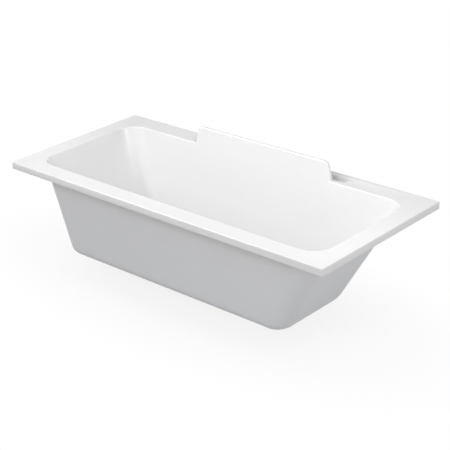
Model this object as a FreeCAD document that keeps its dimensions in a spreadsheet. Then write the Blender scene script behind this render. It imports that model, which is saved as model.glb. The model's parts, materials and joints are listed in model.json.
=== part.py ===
import FreeCAD, Part
import os
import re
import Sketcher
from FreeCAD import Placement, Rotation, Vector

# Built-in acrylic bath, millimetres. +Z is up, +X runs to the sloping head end, -Y is the open front.
# The origin is on the floor, under the middle of the rim.

doc = FreeCAD.newDocument("acrylic_bath")
sheet = doc.addObject("Spreadsheet::Sheet", "Sizes")

SIZES = {
    # Rim and deck
    "rim_length": (1800, "outside length of the rim"),
    "rim_width": (800, "outside width of the rim"),
    "rim_drop": (32, "height of the turned-down lip"),
    "rim_corner": (5, "upright corner radius of the lip"),
    "lip_corner": (2, "upright corner radius inside the lip"),
    "rim_edge": (4, "rounding of the deck's outer edge"),
    "deck_front": (88, "deck width at the front"),
    "deck_back": (106, "deck width at the wall side"),
    "deck_foot": (86, "deck width at the foot end"),
    "deck_head": (86, "deck width at the head end"),
    # Well
    "sheet_wall": (5, "acrylic sheet thickness"),
    "laminate": (3, "glass-fibre layer thickness"),
    "shell_depth": (456, "rim top to the underside of the shell"),
    "side_lean": (39, "how far a long wall comes in over the shell depth"),
    "foot_lean": (122, "how far the foot wall comes in over the shell depth"),
    "head_lean": (244, "how far the back rest comes in over the shell depth"),
    "mouth_corner": (92, "well corner radius at the deck"),
    "foot_corner": (67, "well corner radius at the floor, foot end"),
    "head_corner": (82, "well corner radius at the floor, head end front"),
    "back_corner": (175, "well corner radius at the floor, head end back"),
    "floor_round": (50, "rounding from walls to floor"),
    "mouth_round": (5, "rounding from deck to walls"),
    # Raised panel and finger channel
    "upstand_length": (796, "raised panel length at the deck"),
    "upstand_shift": (9, "raised panel middle towards the head end"),
    "upstand_lean": (20, "how far each end of the panel leans in"),
    "upstand_height": (84, "raised panel height above the deck"),
    "upstand_thick": (24, "raised panel thickness"),
    "upstand_corner": (24, "raised panel top corner radius"),
    "upstand_edge": (7, "rounding of the panel's long edges"),
    "upstand_proud": (0.8, "panel stock trimmed back to the wall's plane"),
    "core_clearance": (0.5, "room round the panel's stiffening strip"),
    "grip_width": (46, "finger channel width"),
    "grip_depth": (20, "finger channel depth"),
    "grip_ramp": (90, "run-out of the channel past the panel, head end"),
    "grip_slope": (72, "sloping part of that run-out"),
    "grip_stop": (40, "run-out of the channel past the panel, foot end"),
    "grip_rise": (25, "sloping part of that run-out"),
    # Battens under the deck
    "batten_width": (45, "batten width"),
    "back_batten": (20, "batten width beside the channel"),
    "batten_height": (20, "batten height"),
    "batten_gap": (2, "room between a batten and its neighbours"),
    # Base board and cradles
    "foot_height": (90, "floor to the underside of the shell"),
    "board_thick": (15, "base board thickness"),
    "board_inset": (80, "base board edge inside the well's floor outline"),
    "board_corner": (45, "base board corner radius"),
    "cradle_inset": (60, "foot cradle centre line from the end of the board"),
    "head_inset": (90, "head cradle centre line from the end of the board"),
    "cradle_length": (240, "cradle length"),
    "cradle_width": (40, "channel width of a cradle"),
    "cradle_depth": (22, "channel depth of a cradle"),
    "cradle_steel": (2, "cradle steel thickness"),
    "cradle_flange": (15, "width of a cradle's fixing flange"),
    "screw_spread": (190, "distance between a flange's two screws"),
    "screw_radius": (2, "wood screw shank radius"),
    "screw_length": (12, "wood screw shank length"),
    "screw_head": (4.5, "wood screw head radius"),
    "screw_head_height": (2.4, "wood screw head height"),
    # Adjustable feet
    "foot_spread": (176, "distance between the two feet of a cradle"),
    "rod_radius": (6, "foot screw radius"),
    "rod_room": (6, "foot screw end below the shell"),
    "rod_hole": (8, "clearance hole radius above a foot screw"),
    "thread_clearance": (0.05, "radial play of a thread or journal"),
    "nut_width": (18, "nut width across flats"),
    "nut_height": (10, "weld nut height"),
    "jam_height": (6, "jam nut height"),
    "collar_width": (17, "foot screw drive hexagon across flats"),
    "collar_height": (7, "foot screw drive hexagon height"),
    "pad_radius": (20, "foot pad radius"),
    "pad_rim": (5, "straight part of a foot pad"),
    "pad_dome": (7, "tapered part of a foot pad"),
    "pad_top": (12, "foot pad radius at its top"),
    "sole_height": (3, "rubber sole thickness"),
    "journal_radius": (5, "foot screw journal radius in the pad"),
    "journal_depth": (8, "journal length in the pad"),
    "seat_clearance": (0.3, "room between parts that move on each other"),
    # Waste and plug
    "waste_inset": (225, "waste centre from the foot wall at the floor"),
    "flange_radius": (35, "waste flange radius"),
    "flange_height": (2.5, "waste flange thickness"),
    "flange_bevel": (1.5, "bevel of the flange's edge"),
    "seal_height": (1.5, "upper seal thickness, sunk in the floor"),
    "seal_radius": (33, "upper seal radius"),
    "tail_radius": (23, "waste tail outside radius"),
    "tail_wall": (3, "waste tail wall"),
    "tail_length": (32, "waste tail length below the floor surface"),
    "tail_clearance": (1, "room round the tail in the shell"),
    "lower_seal_height": (3, "lower seal thickness"),
    "lower_seal_radius": (32, "lower seal radius"),
    "backnut_width": (60, "back nut width across flats"),
    "backnut_height": (8, "back nut height"),
    "cutout_radius": (48, "base board cut-out radius round the waste"),
    "hub_radius": (8, "plug guide hub radius"),
    "hub_height": (10, "plug guide hub height"),
    "hub_drop": (8, "plug guide hub below the floor surface"),
    "spoke_width": (4, "width of the spokes that hold the hub"),
    "cap_radius": (31, "plug cap radius"),
    "cap_height": (2.5, "plug cap rim height"),
    "cap_crown": (2.5, "plug cap crown height"),
    "cap_bevel": (5, "plug cap crown run-in"),
    "plug_seal_height": (1.5, "plug seal thickness"),
    "plug_seal_outer": (29, "plug seal outside radius"),
    "plug_seal_inner": (22, "plug seal inside radius"),
    "stem_radius": (4, "plug stem radius"),
    "plug_lift": (8, "how far the plug lifts"),
    "clip_radius": (6.5, "stem clip radius"),
    "clip_height": (2, "stem clip thickness"),
    # Trap and outlet
    "trap_radius": (38, "trap cup radius"),
    "trap_wall": (3, "trap wall"),
    "trap_floor_gap": (8, "trap above the floor"),
    "trap_height": (46, "trap cup height"),
    "collar_radius": (27, "trap neck flange radius"),
    "trap_collar": (3, "trap neck flange thickness"),
    "neck_radius": (23.5, "trap neck radius"),
    "washer_height": (2.5, "trap washer thickness"),
    "nut_grip": (10, "trap nut thread length"),
    "nut_wall": (4, "trap nut wall"),
    "nut_skirt": (8, "trap nut skirt below the tail"),
    "pipe_radius": (20, "outlet pipe radius"),
    "pipe_wall": (2.4, "outlet pipe wall"),
    "pipe_reach": (185, "outlet pipe end from the waste axis"),
    "pipe_level": (32, "outlet pipe axis above the floor"),
    "socket_reach": (60, "outlet socket end from the waste axis"),
    "socket_wall": (3.2, "outlet socket wall"),
    "socket_depth": (18, "how far the pipe enters its socket"),
    "outlet_seal_height": (3, "outlet seal thickness"),
    "outlet_nut_length": (16, "outlet nut length"),
    "outlet_nut_lip": (4, "outlet nut lip beyond the seal"),
    "mark_gap": (2, "insertion mark from the outlet nut"),
    "mark_width": (2, "insertion mark along the outlet pipe"),
    "mark_depth": (0.6, "insertion mark groove depth"),
    "cut_over": (20, "how far a cutting tool runs past a face"),
}

for row, (alias, (number, note)) in enumerate(SIZES.items(), start=1):
    sheet.set(f"A{row}", note)
    sheet.set(f"B{row}", str(number))
    sheet.setAlias(f"B{row}", alias)
doc.recompute()

# Levels and places that several pieces share, as formulas of the sizes
RIM_TOP = "(foot_height + shell_depth)"
DECK_UNDER = f"({RIM_TOP} - sheet_wall)"
BATTEN_TOP = f"({DECK_UNDER} - laminate)"
FLOOR_TOP = "(foot_height + laminate + sheet_wall)"
BOARD_UNDER = "(foot_height - board_thick)"
WEB_UNDER = f"({BOARD_UNDER} - cradle_depth)"
WEB_TOP = f"({WEB_UNDER} + cradle_steel)"
PAD_TOP = "(sole_height + pad_rim + pad_dome)"
MIDDLE_Y = "((deck_front - deck_back) / 2)"
WALL_Y = "(rim_width / 2 - deck_back)"
UPSTAND_BACK = f"({WALL_Y} + upstand_thick)"
GRIP_BACK = f"({UPSTAND_BACK} + grip_width)"
WASTE_X = "(-(rim_length / 2 - deck_foot - foot_lean) + waste_inset)"
TAIL_UNDER = f"({FLOOR_TOP} - tail_length)"
WASHER_UNDER = f"({TAIL_UNDER} - washer_height)"
TRAP_TOP = "(trap_floor_gap + trap_height)"
HUB_UNDER = f"({FLOOR_TOP} - hub_drop - hub_height)"
FLANGE_TOP = f"({FLOOR_TOP} + flange_height)"
CAP_UNDER = f"({FLANGE_TOP} + seat_clearance + plug_seal_height)"

pieces = []


def refer(formula):
    """Point the size names in a formula at the sheet."""
    return re.sub(r"[a-z_]+", lambda word: f"Sizes.{word[0]}" if word[0] in SIZES else word[0], formula)


def bind(item, **formulas):
    """Bind properties of a document object, such as Length or x, to formulas of the sizes."""
    for name, formula in formulas.items():
        path = f"Placement.Base.{name}" if name in ("x", "y", "z") else name
        item.setExpression(path, refer(formula))
    return item


def value(formula):
    """The present number of a formula, for the first draft of a sketch."""
    return float(sheet.evalExpression(refer(formula)))


def piece(item, label):
    """Hand an object in as a sub-part under its own label."""
    item.Label = label
    pieces.append(item)
    return item


# Part primitives and booleans

def box(name, length, width, height, x, y, z):
    """A box centred on x and y that stands on z."""
    item = doc.addObject("Part::Box", name)
    bind(item, Length=length, Width=width, Height=height)
    return bind(item, x=f"{x} - ({length}) / 2", y=f"{y} - ({width}) / 2", z=z)


def cylinder(name, radius, height, x, y, z, along_y=False):
    """A cylinder whose axis runs up, or towards the wall side."""
    item = doc.addObject("Part::Cylinder", name)
    if along_y:
        item.Placement = Placement(Vector(), Rotation(Vector(1, 0, 0), -90))
    return bind(item, Radius=radius, Height=height, x=x, y=y, z=z)


def cone(name, lower, upper, height, x, y, z):
    item = doc.addObject("Part::Cone", name)
    return bind(item, Radius1=lower, Radius2=upper, Height=height, x=x, y=y, z=z)


def hexagon(name, width, height, x, y, z):
    item = doc.addObject("Part::Prism", name)
    item.Polygon = 6
    return bind(item, Circumradius=f"{width} / sqrt(3)", Height=height, x=x, y=y, z=z)


def fuse(name, *solids):
    item = doc.addObject("Part::MultiFuse", name)
    item.Shapes = list(solids)
    item.Refine = True
    return item


def cut(name, base, *tools):
    item = doc.addObject("Part::Cut", name)
    item.Base = base
    item.Tool = tools[0] if len(tools) == 1 else fuse(f"{name}_tools", *tools)
    return item


# PartDesign bodies and sketches

def new_body(name):
    return doc.addObject("PartDesign::Body", name)


def new_sketch(body, name, plane, **offsets):
    """A sketch on one of the body's own origin planes, moved by bound offsets."""
    sketch = body.newObject("Sketcher::SketchObject", name)
    support = next(item for item in body.Origin.OriginFeatures if item.Role == plane)
    sketch.AttachmentSupport = [(support, "")]
    sketch.MapMode = "FlatFace"
    for axis, formula in offsets.items():
        sketch.setExpression(f"AttachmentOffset.Base.{axis}", refer(formula))
    return sketch


def dimension(sketch, name, formula, kind, *places):
    """Add one named driving dimension bound to a formula."""
    index = sketch.addConstraint(Sketcher.Constraint(kind, *places, value(formula)))
    sketch.renameConstraint(index, name)
    sketch.setExpression(f"Constraints.{name}", refer(formula))


def round_outline(sketch, foot, head, front, back, corners):
    """A rounded rectangle round the sketch's origin, its corners from front foot counter-clockwise."""
    x0, x1 = -value(foot), value(head)
    y0, y1 = -value(front), value(back)
    radii = [value(corner) for corner in corners]
    signs = [(x0, y0, 1, 1), (x1, y0, -1, 1), (x1, y1, -1, -1), (x0, y1, 1, -1)]
    centres = [Vector(x + sx * r, y + sy * r) for (x, y, sx, sy), r in zip(signs, radii)]
    outward = [Vector(0, -1), Vector(1, 0), Vector(0, 1), Vector(-1, 0)]
    for side in range(4):
        far = (side + 1) % 4
        start = centres[side] + outward[side] * radii[side]
        middle = centres[far] + outward[side] * radii[far]
        end = centres[far] + outward[far] * radii[far]
        diagonal = (outward[side] + outward[far]).normalize()
        sketch.addGeometry(Part.LineSegment(start, middle), False)
        sketch.addGeometry(Part.Arc(middle, centres[far] + diagonal * radii[far], end), False)
    for edge in range(8):
        sketch.addConstraint(Sketcher.Constraint("Tangent", edge, 2, (edge + 1) % 8, 1))
    for line, kind in ((0, "Horizontal"), (2, "Vertical"), (4, "Horizontal"), (6, "Vertical")):
        sketch.addConstraint(Sketcher.Constraint(kind, line))
    names = ("front_foot", "front_head", "back_head", "back_foot")
    for arc, name, corner in zip((7, 1, 3, 5), names, corners):
        dimension(sketch, name, corner, "Radius", arc)
    dimension(sketch, "foot", foot, "DistanceX", 6, 1, -1, 1)
    dimension(sketch, "head", head, "DistanceX", -1, 1, 2, 1)
    dimension(sketch, "front", front, "DistanceY", 0, 1, -1, 1)
    dimension(sketch, "back", back, "DistanceY", -1, 1, 4, 1)
    return sketch


def polygon(sketch, points):
    """A closed polygon whose corners are bound to pairs of formulas."""
    drawn = [Vector(value(x), value(y)) for x, y in points]
    count = len(points)
    for index in range(count):
        sketch.addGeometry(Part.LineSegment(drawn[index], drawn[(index + 1) % count]), False)
    for index, (x, y) in enumerate(points):
        sketch.addConstraint(Sketcher.Constraint("Coincident", index, 2, (index + 1) % count, 1))
        dimension(sketch, f"x{index}", x, "DistanceX", -1, 1, index, 1)
        dimension(sketch, f"y{index}", y, "DistanceY", -1, 1, index, 1)
    return sketch


def disc(body, name, level, x, y, radius):
    """A circle parallel to the floor, drawn round its own sketch origin."""
    sketch = new_sketch(body, name, "XY_Plane", x=x, y=y, z=level)
    sketch.addGeometry(Part.Circle(Vector(), Vector(0, 0, 1), value(radius)), False)
    sketch.addConstraint(Sketcher.Constraint("Coincident", 0, 3, -1, 1))
    dimension(sketch, "radius", radius, "Radius", 0)
    return sketch


def extrude(body, kind, sketch, length, reverse=False, midplane=False):
    """A Pad or Pocket of a bound length."""
    feature = body.newObject(f"PartDesign::{kind}", f"{sketch.Name}_{kind.lower()}")
    feature.Profile = sketch
    feature.Reversed = reverse
    feature.SideType = "Symmetric" if midplane else "One side"
    feature.setExpression("Length", refer(length))
    doc.recompute()
    return feature


def loft(body, lower, upper):
    feature = body.newObject("PartDesign::AdditiveLoft", f"{lower.Name}_loft")
    feature.Profile = lower
    feature.Sections = [upper]
    feature.Ruled = True
    doc.recompute()
    return feature


def round_edges(body, radius, chosen):
    """Fillet the edges of the body's tip that pass a test."""
    base = body.Tip
    names = [f"Edge{i}" for i, edge in enumerate(base.Shape.Edges, start=1) if chosen(edge.BoundBox)]
    feature = body.newObject("PartDesign::Fillet", f"{base.Name}_round")
    feature.Base = (base, names)
    feature.setExpression("Radius", refer(radius))
    doc.recompute()
    return feature


TOUCH = value("seat_clearance") / value("rim_length")


def at_level(formula):
    """Test for edges that lie flat at a level."""
    level = value(formula)
    return lambda bounds: abs(bounds.ZMin - level) < TOUCH and abs(bounds.ZMax - level) < TOUCH


# The well's walls are ruled between a mouth outline and a floor outline

def well_outline(body, name, level, offset):
    """The well's outline at a level, grown outwards by an offset."""
    share = f"(({RIM_TOP} - {level}) / shell_depth)"
    corners = ("foot_corner", "head_corner", "back_corner", "foot_corner")
    sketch = new_sketch(body, name, "XY_Plane", z=level)
    return round_outline(
        sketch,
        f"rim_length / 2 - deck_foot - foot_lean * {share} + {offset}",
        f"rim_length / 2 - deck_head - head_lean * {share} + {offset}",
        f"rim_width / 2 - deck_front - side_lean * {share} + {offset}",
        f"rim_width / 2 - deck_back - side_lean * {share} + {offset}",
        [f"mouth_corner + ({corner} - mouth_corner) * {share} + {offset}" for corner in corners],
    )


def add_well(body, name, top, bottom, offset):
    """Add the well's solid form between two levels, with its floor rounded."""
    lower = well_outline(body, f"{name}_floor", bottom, offset)
    upper = well_outline(body, f"{name}_mouth", top, offset)
    loft(body, lower, upper)
    return round_edges(body, f"floor_round + {offset}", at_level(bottom))


def hollow_well(body, name, top, bottom, offset):
    """Take the well's form away from a body."""
    form = new_body(f"{name}_form")
    extrude(form, "Pad", well_outline(form, f"{name}_over", top, offset), "cut_over")
    add_well(form, name, top, bottom, offset)
    feature = body.newObject("PartDesign::Boolean", f"{name}_cut")
    feature.Type = "Cut"
    feature.setObjects([form])
    doc.recompute()
    return feature


def rim_outline(body, name, level, inset, corner):
    sketch = new_sketch(body, name, "XY_Plane", z=level)
    length, width = f"rim_length / 2 - {inset}", f"rim_width / 2 - {inset}"
    return round_outline(sketch, length, length, width, width, [corner] * 4)


def make_shell_form():
    """Deck, lip and well of the acrylic sheet."""
    body = new_body("shell_form")
    lip = f"({RIM_TOP} - rim_drop)"
    extrude(body, "Pad", rim_outline(body, "deck", lip, "0", "rim_corner"), "rim_drop")
    hollow = rim_outline(body, "deck_hollow", lip, "sheet_wall", "lip_corner")
    extrude(body, "Pocket", hollow, "rim_drop - sheet_wall", True)
    add_well(body, "well_outside", RIM_TOP, "(foot_height + laminate)", "sheet_wall")
    hollow_well(body, "well_inside", RIM_TOP, FLOOR_TOP, "0")
    at_deck = at_level(RIM_TOP)
    half_x, half_y = value("rim_length / 2 - deck_foot / 2"), value("rim_width / 2 - deck_front / 2")
    inside = lambda bounds: abs(bounds.Center.x) < half_x and abs(bounds.Center.y) < half_y
    round_edges(body, "mouth_round", lambda bounds: at_deck(bounds) and inside(bounds))
    round_edges(body, "rim_edge", lambda bounds: at_deck(bounds) and not inside(bounds))
    seat = disc(body, "seal_seat", FLOOR_TOP, WASTE_X, MIDDLE_Y, "seal_radius + seat_clearance")
    extrude(body, "Pocket", seat, "seal_height")
    hole = disc(body, "waste_hole", FLOOR_TOP, WASTE_X, MIDDLE_Y, "tail_radius + tail_clearance")
    extrude(body, "Pocket", hole, "sheet_wall + laminate")
    return body


def make_upstand_form():
    """Raised panel: an upright slab with rounded edges, trimmed to the plane of the wall."""
    body = new_body("upstand_form")
    face = new_sketch(body, "upstand_face", "XZ_Plane", x="upstand_shift", y=RIM_TOP, z=f"-{UPSTAND_BACK}")
    half, top = "upstand_length / 2", "upstand_height"
    polygon(face, [
        (f"-{half}", "-sheet_wall"), (half, "-sheet_wall"), (half, "0"),
        (f"{half} - upstand_lean", top), (f"upstand_lean - {half}", top), (f"-{half}", "0"),
    ])
    extrude(body, "Pad", face, "upstand_thick + upstand_proud")
    roof = value(f"{RIM_TOP} + upstand_height")
    round_edges(body, "upstand_corner",
                lambda bounds: bounds.XLength < TOUCH and abs(bounds.ZMin - roof) < TOUCH)
    trim = new_sketch(body, "wall_plane", "YZ_Plane", x=WALL_Y, y=RIM_TOP, z="upstand_shift")
    rise, lean = "(upstand_height + cut_over)", "side_lean / shell_depth"
    polygon(trim, [
        (f"-sheet_wall * {lean}", "-sheet_wall"), (f"{rise} * {lean}", rise), ("-cut_over", rise),
        ("-cut_over", "-sheet_wall"),
    ])
    extrude(body, "Pocket", trim, "upstand_length + cut_over", midplane=True)

    def on_front(y, z):
        return abs(y - value(WALL_Y) - (z - value(RIM_TOP)) * value(lean)) < TOUCH

    def long_edge(bounds):
        behind = abs(bounds.YMin - value(UPSTAND_BACK)) < TOUCH
        before = on_front(bounds.YMin, bounds.ZMin) and on_front(bounds.YMax, bounds.ZMax)
        return bounds.ZMax > value(DECK_UNDER) + TOUCH and (behind or before)

    round_edges(body, "upstand_edge", long_edge)
    return body


def trough(name, grow):
    """The finger channel's form with sloping ends, grown outwards by a wall."""
    item = doc.addObject("Part::Wedge", name)
    item.Placement = Placement(Vector(), Rotation(Vector(1, 0, 0), 90))
    foot = f"(upstand_length / 2 + grip_stop + {grow})"
    head = f"(upstand_length / 2 + grip_ramp + {grow})"
    bind(item, Xmin=f"grip_rise - {foot}", Xmax=f"{head} - grip_slope", X2min=f"-{foot}", X2max=head)
    bind(item, Ymin=f"-grip_depth - {grow}", Ymax="0")
    bind(item, Zmin=f"-{grow}", Zmax=f"grip_width + {grow}", Z2min=f"-{grow}", Z2max=f"grip_width + {grow}")
    return bind(item, x="upstand_shift", y=GRIP_BACK, z=RIM_TOP)


def make_acrylic_shell():
    slot_front = f"({WALL_Y} + upstand_height * side_lean / shell_depth + sheet_wall)"
    slot_width = f"({UPSTAND_BACK} - sheet_wall - {slot_front})"
    slot_low = f"({RIM_TOP} - grip_depth - sheet_wall)"
    slot_length = "upstand_length - 2 * upstand_lean - 2 * upstand_corner"
    slot_height = "grip_depth + upstand_height"
    slot_y = f"{slot_front} + {slot_width} / 2"
    slot = box("upstand_slot", slot_length, slot_width, slot_height, "upstand_shift", slot_y, slot_low)
    core = box("upstand_strip", f"{slot_length} - 2 * core_clearance", f"{slot_width} - 2 * core_clearance",
               f"{slot_height} - core_clearance", "upstand_shift", slot_y, slot_low)
    formed = fuse("formed_sheet", make_shell_form(), make_upstand_form(), trough("grip_skin", "sheet_wall"))
    piece(cut("formed_shell", formed, slot, trough("grip_channel", "0")), "acrylic_shell")
    piece(core, "upstand_core")


def make_backing():
    """Glass-fibre layer on the outside of the well and under the deck."""
    body = new_body("backing_form")
    flange = rim_outline(body, "backing_flange", BATTEN_TOP, "(sheet_wall + batten_gap / 2)", "lip_corner")
    extrude(body, "Pad", flange, "laminate")
    add_well(body, "backing_outside", DECK_UNDER, "foot_height", "(sheet_wall + laminate)")
    hollow_well(body, "backing_inside", DECK_UNDER, "(foot_height + laminate)", "sheet_wall")
    hole = disc(body, "backing_hole", "(foot_height + laminate)", WASTE_X, MIDDLE_Y,
                "tail_radius + tail_clearance")
    extrude(body, "Pocket", hole, "laminate")
    wall_back = f"({WALL_Y} + sheet_wall + laminate)"
    notch_width = f"(rim_width / 2 - sheet_wall - {wall_back})"
    notch = box("backing_notch", "upstand_length + 2 * (grip_ramp + sheet_wall + batten_gap)", notch_width,
                "rim_drop + cut_over", "upstand_shift", f"{wall_back} + {notch_width} / 2",
                f"({DECK_UNDER} - rim_drop)")
    piece(cut("backing_shell", body, notch), "fibreglass_backing")


def make_battens():
    inner_x = "(rim_length / 2 - sheet_wall - batten_gap)"
    inner_y = "(rim_width / 2 - sheet_wall - batten_gap)"
    under = f"{BATTEN_TOP} - batten_height"
    front_y, back_y = f"batten_width / 2 - {inner_y}", f"{inner_y} - back_batten / 2"
    piece(box("front_batten", f"2 * {inner_x}", "batten_width", "batten_height", "0", front_y, under),
          "rim_batten_front")
    piece(box("back_batten_strip", f"2 * {inner_x}", "back_batten", "batten_height", "0", back_y, under),
          "rim_batten_back")
    length = f"(2 * {inner_y} - batten_width - back_batten - 2 * batten_gap)"
    middle = "(batten_width - back_batten) / 2"
    for end, side in (("foot", -1), ("head", 1)):
        x = f"{side} * ({inner_x} - batten_width / 2)"
        piece(box(f"{end}_batten", "batten_width", length, "batten_height", x, middle, under),
              f"rim_batten_{end}")


# Base board, cradles and feet

CRADLES = {
    "foot": "(board_inset + cradle_inset + foot_lean + deck_foot - rim_length / 2)",
    "head": "(rim_length / 2 - deck_head - head_lean - board_inset - head_inset)",
}
ROWS = {"front": f"({MIDDLE_Y} - foot_spread / 2)", "back": f"({MIDDLE_Y} + foot_spread / 2)"}


def screw_places(x):
    """The four screw places of a cradle."""
    reach = "(cradle_width / 2 + cradle_flange / 2)"
    return [(f"({x} {sx} {reach})", f"({MIDDLE_Y} {sy} screw_spread / 2)") for sx in "+-" for sy in "+-"]


def make_board():
    body = new_body("board_form")
    sketch = new_sketch(body, "board_outline", "XY_Plane", z=BOARD_UNDER)
    round_outline(
        sketch,
        "rim_length / 2 - deck_foot - foot_lean - board_inset",
        "rim_length / 2 - deck_head - head_lean - board_inset",
        "rim_width / 2 - deck_front - side_lean - board_inset",
        "rim_width / 2 - deck_back - side_lean - board_inset",
        ["board_corner"] * 4,
    )
    extrude(body, "Pad", sketch, "board_thick")
    holes = [cylinder("board_cutout", "cutout_radius", "board_thick", WASTE_X, MIDDLE_Y, BOARD_UNDER)]
    for end, x in CRADLES.items():
        for row, y in ROWS.items():
            holes.append(cylinder(f"rod_hole_{end}_{row}", "rod_hole", "board_thick", x, y, BOARD_UNDER))
        for index, (sx, sy) in enumerate(screw_places(x)):
            holes.append(cylinder(f"pilot_{end}_{index}", "screw_radius", "screw_length - cradle_steel",
                                  sx, sy, BOARD_UNDER))
    piece(cut("board", body, *holes), "base_board")


def make_cradle(end, x):
    """A top-hat steel channel under the board, with its wood screws."""
    flange = box(f"flange_{end}", "cradle_width + 2 * cradle_flange", "cradle_length", "cradle_steel",
                 x, MIDDLE_Y, f"{BOARD_UNDER} - cradle_steel")
    channel = box(f"channel_{end}", "cradle_width", "cradle_length", "cradle_depth", x, MIDDLE_Y, WEB_UNDER)
    hollow = box(f"hollow_{end}", "cradle_width - 2 * cradle_steel", "cradle_length",
                 "cradle_depth - cradle_steel", x, MIDDLE_Y, WEB_TOP)
    holes = [cylinder(f"web_hole_{end}_{row}", "rod_radius + seat_clearance", "cradle_steel", x, y, WEB_UNDER)
             for row, y in ROWS.items()]
    screws = []
    for index, (sx, sy) in enumerate(screw_places(x)):
        head_under = f"{BOARD_UNDER} - cradle_steel - screw_head_height"
        holes.append(cylinder(f"flange_hole_{end}_{index}", "screw_radius", "cradle_steel", sx, sy,
                              f"{BOARD_UNDER} - cradle_steel"))
        head = cone(f"screw_head_{end}_{index}", "screw_head - screw_radius / 2", "screw_head",
                    "screw_head_height", sx, sy, head_under)
        shank = cylinder(f"shank_{end}_{index}", "screw_radius", "screw_length", sx, sy,
                         f"{BOARD_UNDER} - cradle_steel")
        screws.append(fuse(f"screw_{end}_{index}", head, shank))
    piece(cut(f"hat_{end}", fuse(f"hat_blank_{end}", flange, channel), hollow, *holes), f"cradle_{end}")
    group = doc.addObject("Part::Compound", f"screws_{end}")
    group.Links = screws
    piece(group, f"cradle_screws_{end}")


def make_foot(end, row, x, y):
    """One adjustable foot: weld nut, jam nut, screw, pad and sole."""
    spot = f"{end}_{row}"
    bore = "rod_radius + thread_clearance"
    weld = hexagon(f"weld_{spot}", "nut_width", "nut_height", x, y, WEB_TOP)
    jam_under = f"({WEB_UNDER} - jam_height)"
    jam = hexagon(f"jam_{spot}", "nut_width", "jam_height", x, y, jam_under)
    piece(cut(f"weld_ring_{spot}", weld, cylinder(f"weld_bore_{spot}", bore, "nut_height", x, y, WEB_TOP)),
          f"weld_nut_{spot}")
    piece(cut(f"jam_ring_{spot}", jam, cylinder(f"jam_bore_{spot}", bore, "jam_height", x, y, jam_under)),
          f"jam_nut_{spot}")
    collar_under = f"({PAD_TOP} + seat_clearance)"
    journal = cylinder(f"journal_{spot}", "journal_radius", "journal_depth + seat_clearance", x, y,
                       f"{PAD_TOP} - journal_depth")
    collar = hexagon(f"collar_{spot}", "collar_width", "collar_height", x, y, collar_under)
    rod_length = f"foot_height - rod_room - {collar_under}"
    rod = cylinder(f"rod_{spot}", "rod_radius", rod_length, x, y, collar_under)
    piece(fuse(f"foot_rod_{spot}", journal, collar, rod), f"foot_screw_{spot}")
    rim = cylinder(f"pad_rim_{spot}", "pad_radius", "pad_rim", x, y, "sole_height")
    dome = cone(f"pad_dome_{spot}", "pad_radius", "pad_top", "pad_dome", x, y, "sole_height + pad_rim")
    socket = cylinder(f"socket_{spot}", "journal_radius + thread_clearance", "journal_depth", x, y,
                      f"{PAD_TOP} - journal_depth")
    piece(cut(f"pad_{spot}", fuse(f"pad_blank_{spot}", rim, dome), socket), f"foot_pad_{spot}")
    piece(cylinder(f"sole_{spot}", "pad_radius", "sole_height", x, y, "0"), f"foot_sole_{spot}")


# Waste, plug, trap and outlet, all on the waste axis

def ring(name, outer, inner, height, level):
    """A flat ring round the waste axis."""
    return cut(name, cylinder(f"{name}_outer", outer, height, WASTE_X, MIDDLE_Y, level),
               cylinder(f"{name}_inner", inner, height, WASTE_X, MIDDLE_Y, level))


def make_waste():
    inside = "tail_radius - tail_wall"
    flange = cone("flange_plate", "flange_radius", "flange_radius - flange_bevel", "flange_height",
                  WASTE_X, MIDDLE_Y, FLOOR_TOP)
    tail = cylinder("tail", "tail_radius", "tail_length", WASTE_X, MIDDLE_Y, TAIL_UNDER)
    throat = cylinder("throat", inside, "tail_length + flange_height", WASTE_X, MIDDLE_Y, TAIL_UNDER)
    hub = cylinder("hub", "hub_radius", "hub_height", WASTE_X, MIDDLE_Y, HUB_UNDER)
    reach = f"2 * ({inside} + tail_wall / 2)"
    spokes = [
        box("spoke_long", reach, "spoke_width", "hub_height", WASTE_X, MIDDLE_Y, HUB_UNDER),
        box("spoke_cross", "spoke_width", reach, "hub_height", WASTE_X, MIDDLE_Y, HUB_UNDER),
    ]
    guide = cylinder("guide", "stem_radius + thread_clearance", "hub_height", WASTE_X, MIDDLE_Y, HUB_UNDER)
    tube = cut("tail_tube", fuse("flange_blank", flange, tail), throat)
    piece(cut("flange", fuse("flange_spider", tube, hub, *spokes), guide), "waste_flange")
    piece(ring("upper_ring", "seal_radius", "tail_radius", "seal_height", f"{FLOOR_TOP} - seal_height"),
          "flange_seal")
    seal_under = "(foot_height - lower_seal_height)"
    piece(ring("lower_ring", "lower_seal_radius", "tail_radius", "lower_seal_height", seal_under),
          "lower_seal")
    nut_under = f"({seal_under} - backnut_height)"
    nut = hexagon("backnut", "backnut_width", "backnut_height", WASTE_X, MIDDLE_Y, nut_under)
    bore = cylinder("backnut_bore", "tail_radius", "backnut_height", WASTE_X, MIDDLE_Y, nut_under)
    piece(cut("backnut_ring", nut, bore), "waste_backnut")


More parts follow.
